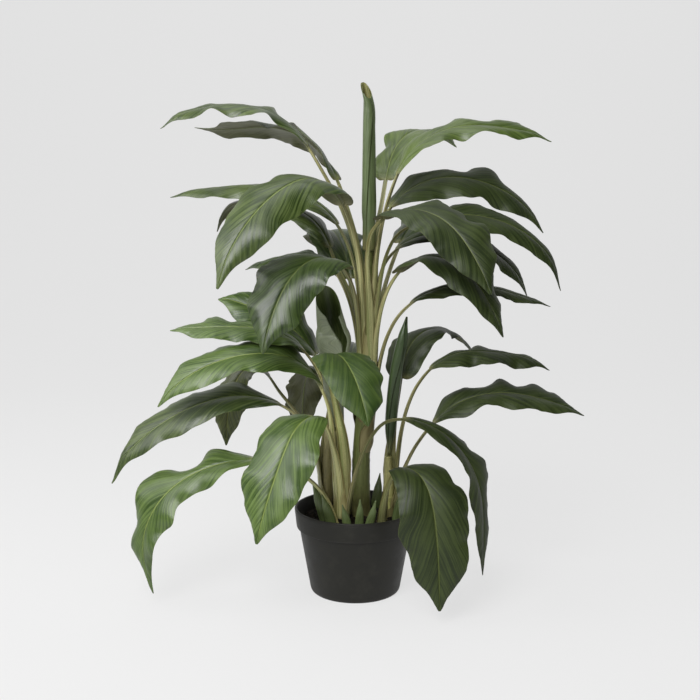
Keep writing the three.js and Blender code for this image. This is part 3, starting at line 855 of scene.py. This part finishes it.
ROLL_COLUMNS = 49
ROLL_THICKNESS = 0.5 * MM
ROLL_WAVINESS = 0.05
ROLL_LEAST_RADIUS = 0.3 * MM
MOUTH_NARROWING = 0.12  # how much narrower an open roll is at its top than halfway
MOUTH_STARTS = 0.6  # of the roll's length: the slant of the top begins here
STALKLIKE = 0.16  # of the roll's length: so far it has the colours of a stalk
YOUNG_GRAIN = 50  # keeps the grain of rolled leaves apart from that of open ones


def make_roll(node, sides, finish, first, last, tuck, seed, rows=90, widen=(1, 1),
              mouth=None, flat=1.0):
    """A leaf still rolled up. first and last are the bearings in degrees of the sheet's two
    edges, from the foot to the tip, and tuck is how far its first edge lies inside. widen
    scales the CAD radii, from the foot to the tip, and flat scales them from front to back.
    mouth is the bearing of the lowest part of an open top and how far it lies below the tip."""
    middles, radii = upright_rings(node, sides)[:2]
    knots = np.concatenate([[0], np.cumsum(np.linalg.norm(np.diff(middles, axis=0), axis=1))])
    reach = np.linspace(0, knots[-1], rows)
    v = reach / knots[-1]
    axis = spline(knots, middles, reach)
    radius = np.maximum(spline(knots, radii, reach), ROLL_LEAST_RADIUS)
    if mouth:
        radius = np.maximum(radius, radii[len(radii) // 2] * (1 - MOUTH_NARROWING * v))
    radius = radius * spline(np.linspace(0, 1, len(widen)), np.array(widen, float), v)
    marks = np.linspace(0, 1, len(first))
    begin = np.radians(spline(marks, first, v))
    until = np.radians(spline(marks, last, v))
    x = np.linspace(0, 1, ROLL_COLUMNS)
    angle = mix(begin[:, None], until[:, None], x)
    inside = mix(1 - tuck, 1.0, smooth(x * 1.4))
    distance = radius[:, None] * inside
    distance = distance * (1 + ROLL_WAVINESS * np.sin(3 * angle + seed))
    along = unit(np.gradient(axis, axis=0))
    across = unit(np.cross(np.array([0.0, 1.0, 0.0]), along))
    back = np.cross(along, across)
    around = np.cos(angle)[..., None] * across[:, None] + np.sin(angle)[..., None] * back[:, None]
    around = around * np.array([1.0, flat, 1.0])
    outer = axis[:, None] + distance[..., None] * around
    if mouth:
        low, drop = math.radians(mouth[0]), mouth[1]
        depth = drop * (0.5 + 0.5 * np.cos(angle - low))
        slant = np.clip((v[:, None] - MOUTH_STARTS) / (1 - MOUTH_STARTS), 0, 1)
        outer = outer - (depth * slant)[..., None] * UP
    sheet = np.minimum(ROLL_THICKNESS, 0.3 * distance)
    inner = outer - sheet[..., None] * around
    loop = np.concatenate([outer, inner[:, -2:0:-1]], axis=1)
    width = distance * angle
    grain = np.stack([width, np.broadcast_to(reach[:, None], width.shape),
                      np.full_like(width, YOUNG_GRAIN + seed * 2.3)], axis=-1)
    off_rib = mix(0.06, 1.0, np.abs(2 * x - 1))
    stalk_share = 0.75 * (1 - smooth(v / STALKLIKE))
    zone = np.stack([np.zeros_like(width), np.broadcast_to(off_rib, width.shape),
                     np.broadcast_to(stalk_share[:, None], width.shape)], axis=-1)
    shown = zone.copy()
    shown[..., 0] = 1
    attributes = {
        "grain": np.concatenate([grain, grain[:, -2:0:-1]], axis=1),
        "zone": np.concatenate([zone, shown[:, -2:0:-1]], axis=1),
    }
    end = None if mouth else loop[-1].mean(0)
    mesh = tube_mesh(f"{node}_roll", loop, loop[0].mean(0), end, attributes)
    add_piece(f"{node}_roll", mesh, leaf_finishes[finish], node)


make_roll("tall_spear", SPEAR_SIDES, "young",
          first=(-300, -290, -270, -240, -200), last=(240, 255, 275, 300, 320), tuck=0.2, seed=1,
          mouth=(-50, 24 * MM))
make_roll("right_spear", SPEAR_SIDES, "young_dark",
          first=(-300, -280, -240, -200, -40), last=(250, 250, 270, 300, 240), tuck=0.35, seed=2,
          widen=(1, 1, 1.1, 1.3, 1.9))
make_roll("left_spear", SPEAR_SIDES, "young_grey",
          first=(-60, -50, -45, -40, -40), last=(330, 322, 306, 284, 258), tuck=0.1, seed=3,
          widen=(0.6, 0.95, 1.35, 1.5, 1.3), mouth=(-60, 40 * MM))
for index in range(1, SHOOT_COUNT + 1):
    make_roll(f"shoot_{index}", SHOOT_SIDES, "shoot",
              first=(30, 90, 125, 160), last=(430, 420, 405, 380), tuck=0.3,
              seed=10 + index, rows=40, widen=(1.0, 1.3, 1.35, 1.0), flat=0.6)


# ---- the pot and the soil ----

def lathe_mesh(name, outline_points, sides=144):
    """A closed round mesh from points (radius, height), the first and last on the axis."""
    angles = np.linspace(0, 2 * math.pi, sides, endpoint=False)
    inner = np.array(outline_points[1:-1])
    rows = round_points(inner[:, :1], angles, inner[:, 1:])
    start = (0, 0, outline_points[0][1])
    end = (0, 0, outline_points[-1][1])
    return tube_mesh(name, rows, start, end, {})


def fillet(corners, steps=5):
    """The corners, each given as (radius, height, rounding), with round turns between them."""
    made = [corners[0][:2]]
    for before, (r, z, rounding), after in zip(corners, corners[1:-1], corners[2:]):
        corner = np.array([r, z])
        back = np.array(before[:2]) - corner
        on = np.array(after[:2]) - corner
        first = corner + back / np.linalg.norm(back) * min(rounding, np.linalg.norm(back) / 2)
        last = corner + on / np.linalg.norm(on) * min(rounding, np.linalg.norm(on) / 2)
        for t in np.linspace(0, 1, steps):
            made.append(tuple((1 - t) ** 2 * first + 2 * t * (1 - t) * corner + t**2 * last))
    made.append(corners[-1][:2])
    return made


COLLAR_HEIGHT = 27 * MM
COLLAR_STEP = 4 * MM  # how far the collar stands out from the wall
LIP = 2.5 * MM  # how far the rim's lip stands out from the collar


def make_pot():
    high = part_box("pot")[1]
    rim, top = high.x, high.z
    collar_low = top - COLLAR_HEIGHT
    collar = rim - LIP
    wall = collar - COLLAR_STEP
    corners = [  # radius, height and rounding, from the middle of the base round to the inside
        (0, 0, 0), (48 * MM, 0, 1 * MM), (49.5 * MM, 1.2 * MM, 1 * MM), (53 * MM, 1.2 * MM, 1 * MM),
        (54.5 * MM, 0, 1 * MM), (62.5 * MM, 0, 6 * MM), (wall, collar_low - 1 * MM, 1.2 * MM),
        (collar - 0.6 * MM, collar_low - 0.4 * MM, 0.8 * MM),
        (collar, collar_low + 1 * MM, 1.2 * MM),
        (rim - 0.2 * MM, top - 4.5 * MM, 0.6 * MM), (rim, top - 3.6 * MM, 0.6 * MM),
        (rim, top, 1.4 * MM), (rim - 3.2 * MM, top, 1.4 * MM),
        (wall - 1.8 * MM, collar_low + 5 * MM, 2 * MM), (wall - 2.5 * MM, collar_low, 2 * MM),
        (60 * MM, 3 * MM, 4 * MM), (0, 3 * MM, 0),
    ]
    mesh = lathe_mesh("pot_shell", fillet(corners))
    add_piece("pot_shell", mesh, pot_finish, "pot")


SOIL_EDGE = 74.6 * MM  # the soil's radius at its surface
SOIL_BOWL = 75 * MM
SOIL_CROWN = 4 * MM  # how much higher the soil is in its middle
SOIL_LUMPS = ((22 * MM, 1.5 * MM), (8 * MM, 1.1 * MM), (3.5 * MM, 0.6 * MM))  # width, height
SOIL_SIDES = 150
SOIL_RINGS = 60
SOIL_UNDER = (  # the radius and height of the soil's rings below its surface
    (58 * MM, 4 * MM), (60 * MM, 6 * MM), (72 * MM, 80 * MM), (SOIL_EDGE, 96 * MM),
)
CRUMB_COUNT = 650
CRUMB_SIZES = (0.6, 2.3)  # least and most radius, in millimetres
CRUMBS_RADIUS = 73 * MM


def lumps(x, y):
    """A lumpy height for soil, from waves in many directions."""
    rng = np.random.default_rng(5)
    total = np.zeros_like(x)
    for size, height in SOIL_LUMPS:
        for _ in range(7):
            turn, phase = rng.uniform(0, 2 * math.pi, 2)
            step = (x * math.cos(turn) + y * math.sin(turn)) / (size * rng.uniform(0.7, 1.4))
            total += height / 3 * np.sin(2 * math.pi * step + phase)
    return total


def soil_height(x, y):
    radius = np.hypot(x, y) / SOIL_BOWL
    crown = SOIL_CROWN * (1 - radius**2)
    return SOIL_LEVEL + crown + lumps(x, y) * np.clip((1 - radius) * 12, 0.35, 1)


def make_soil():
    angles = np.linspace(0, 2 * math.pi, SOIL_SIDES, endpoint=False)
    rows = [round_points(r, angles, z) for r, z in SOIL_UNDER]
    for r in np.linspace(SOIL_EDGE, 1.2 * MM, SOIL_RINGS):
        ring = round_points(r, angles, 0.0)
        ring[:, 2] = soil_height(ring[:, 0], ring[:, 1])
        rows.append(ring)
    rows = np.array(rows)
    bottom = (0, 0, SOIL_UNDER[0][1])
    mesh = tube_mesh("soil_top", rows, bottom, (0, 0, rows[-1][:, 2].mean()), {})
    add_piece("soil_top", mesh, soil_finish, "soil")


def make_crumbs():
    """Loose crumbs and chips of bark on the soil, as one piece."""
    rng = np.random.default_rng(8)
    corners, faces = [], []
    ball = np.array([
        (0, 0, 1), (0.89, 0, 0.45), (0.28, 0.85, 0.45), (-0.72, 0.53, 0.45),
        (-0.72, -0.53, 0.45), (0.28, -0.85, 0.45), (0.72, 0.53, -0.45), (-0.28, 0.85, -0.45),
        (-0.89, 0, -0.45), (-0.28, -0.85, -0.45), (0.72, -0.53, -0.45), (0, 0, -1),
    ])
    sides = [(0, 1, 2), (0, 2, 3), (0, 3, 4), (0, 4, 5), (0, 5, 1),
             (1, 6, 2), (2, 7, 3), (3, 8, 4), (4, 9, 5), (5, 10, 1),
             (6, 7, 2), (7, 8, 3), (8, 9, 4), (9, 10, 5), (10, 6, 1),
             (11, 7, 6), (11, 8, 7), (11, 9, 8), (11, 10, 9), (11, 6, 10)]
    for _ in range(CRUMB_COUNT):
        radius = CRUMBS_RADIUS * math.sqrt(rng.uniform(0, 0.97))
        turn = rng.uniform(0, 2 * math.pi)
        x, y = radius * math.cos(turn), radius * math.sin(turn)
        size = rng.uniform(*CRUMB_SIZES) * MM
        size = size * np.array([1, rng.uniform(0.5, 1), rng.uniform(0.4, 0.9)])
        form = ball * size * rng.uniform(0.75, 1.2, (12, 1))
        a, b = rng.uniform(0, 2 * math.pi, 2)
        spin = np.array([[math.cos(a), -math.sin(a), 0], [math.sin(a), math.cos(a), 0], [0, 0, 1]])
        lean = np.array([[1, 0, 0], [0, math.cos(b), -math.sin(b)], [0, math.sin(b), math.cos(b)]])
        form = form @ lean.T @ spin.T
        base = len(corners)
        z = float(soil_height(np.array(x), np.array(y))) + size[2] * 0.35
        corners += (form + [x, y, z]).tolist()
        faces += [tuple(base + i for i in side) for side in sides]
    mesh = bpy.data.meshes.new("soil_crumbs")
    mesh.from_pydata(corners, [], faces)
    add_piece("soil_crumbs", mesh, soil_finish)


make_pot()
make_soil()
make_crumbs()


# ---- the studio ----

BACKDROP_GLOW = 0.68
BACKDROP_GREYS = ((0.118, 0.118, 0.118), (0.124, 0.124, 0.124))
FLOOR_FRONT = -4.0
FLOOR_BACK = 1.4  # where the backdrop's curve begins
CURVE_RADIUS = 1.2
CURVE_STEPS = 12
BACKDROP_TOP = 5.0
BACKDROP_HALF_WIDTH = 6.0
WORLD_SEEN = 0.9  # the world's strength where the camera sees it
WORLD_SPAN = (-0.6, 0.5)  # the stretch along y, from the camera's side, where its light grows
WORLD_LIGHT = (0.16, 0.26)  # its strength as a light, before and behind the plant
LIGHTS = {  # place, the point aimed at, diameter and watts
    "key": ((-0.6, -1.6, 1.75), (0, 0, 0.35), 1.6, 62),
    "side": ((-1.5, -0.3, 1.3), (0, 0, 0.35), 1.4, 16),
    "top": ((-0.2, 0.1, 2.3), (0, 0, 0.4), 1.4, 12),
}
CAMERA_PLACE = (-7.46 * MM, -1.5, 568.7 * MM)
CAMERA_DOWN = 8.62  # degrees below level
CAMERA_LENS = 56.8
CAMERA_SENSOR = 36


def make_stage():
    """A pale floor that curves up into a backdrop."""
    profile = [(FLOOR_FRONT, 0.0), (FLOOR_BACK, 0.0)]
    for step in range(1, CURVE_STEPS + 1):
        turn = step / CURVE_STEPS * math.pi / 2
        profile.append((FLOOR_BACK + CURVE_RADIUS * math.sin(turn),
                        CURVE_RADIUS * (1 - math.cos(turn))))
    profile.append((FLOOR_BACK + CURVE_RADIUS, BACKDROP_TOP))
    sides = (-BACKDROP_HALF_WIDTH, BACKDROP_HALF_WIDTH)
    corners = [(x, y, z) for y, z in profile for x in sides]
    faces = [(2 * i, 2 * i + 1, 2 * i + 3, 2 * i + 2) for i in range(len(profile) - 1)]
    mesh = bpy.data.meshes.new("backdrop")
    mesh.from_pydata(corners, [], faces)
    mesh.polygons.foreach_set("use_smooth", np.ones(len(faces), bool))
    n = Nodes("backdrop_paper", 0.9, specular=0.1)
    cloud = n.noise(place(n), scale=3.0)
    n.shader.inputs["Emission Color"].default_value = (1, 1, 1, 1)
    n.shader.inputs["Emission Strength"].default_value = BACKDROP_GLOW
    mesh.materials.append(n.finish(n.blend(cloud, *BACKDROP_GREYS)))
    backdrop = add_object("backdrop", mesh)


def add_light(name, location, target, size, watts):
    data = bpy.data.lights.new(name, "AREA")
    data.shape = "DISK"
    data.size = size
    data.energy = watts
    light = add_object(name, data)
    light.location = location
    aim = np.array(target) - np.array(location)
    light.rotation_euler = Vector(aim).to_track_quat("-Z", "Y").to_euler()


def make_camera():
    data = bpy.data.cameras.new("camera")
    data.sensor_width = CAMERA_SENSOR
    data.lens = CAMERA_LENS
    camera = add_object("camera", data)
    camera.location = CAMERA_PLACE
    camera.rotation_euler = (math.radians(90 - CAMERA_DOWN), 0, 0)
    bpy.context.scene.camera = camera


def make_world():
    """Pale all round to the camera, but darker as a light on the camera's side of the plant."""
    world = bpy.data.worlds.new("studio")
    world.use_nodes = True
    nodes = world.node_tree.nodes
    glow = nodes["Background"]
    seen = nodes.new("ShaderNodeBackground")
    seen.inputs["Strength"].default_value = WORLD_SEEN
    path = nodes.new("ShaderNodeLightPath")
    join = nodes.new("ShaderNodeMixShader")
    at = nodes.new("ShaderNodeTexCoord")
    split = nodes.new("ShaderNodeSeparateXYZ")
    strength = nodes.new("ShaderNodeMapRange")
    strength.interpolation_type = "SMOOTHSTEP"
    for socket, value in zip(list(strength.inputs)[1:5], WORLD_SPAN + WORLD_LIGHT):
        socket.default_value = value
    links = world.node_tree.links
    links.new(at.outputs["Generated"], split.inputs[0])
    links.new(split.outputs[1], strength.inputs[0])
    links.new(strength.outputs[0], glow.inputs["Strength"])
    links.new(path.outputs["Is Camera Ray"], join.inputs[0])
    links.new(glow.outputs[0], join.inputs[1])
    links.new(seen.outputs[0], join.inputs[2])
    links.new(join.outputs[0], nodes["World Output"].inputs["Surface"])
    bpy.context.scene.world = world


make_stage()
make_world()
for name, light in LIGHTS.items():
    add_light(name, *light)
make_camera()
bpy.context.scene.view_settings.view_transform = "Standard"
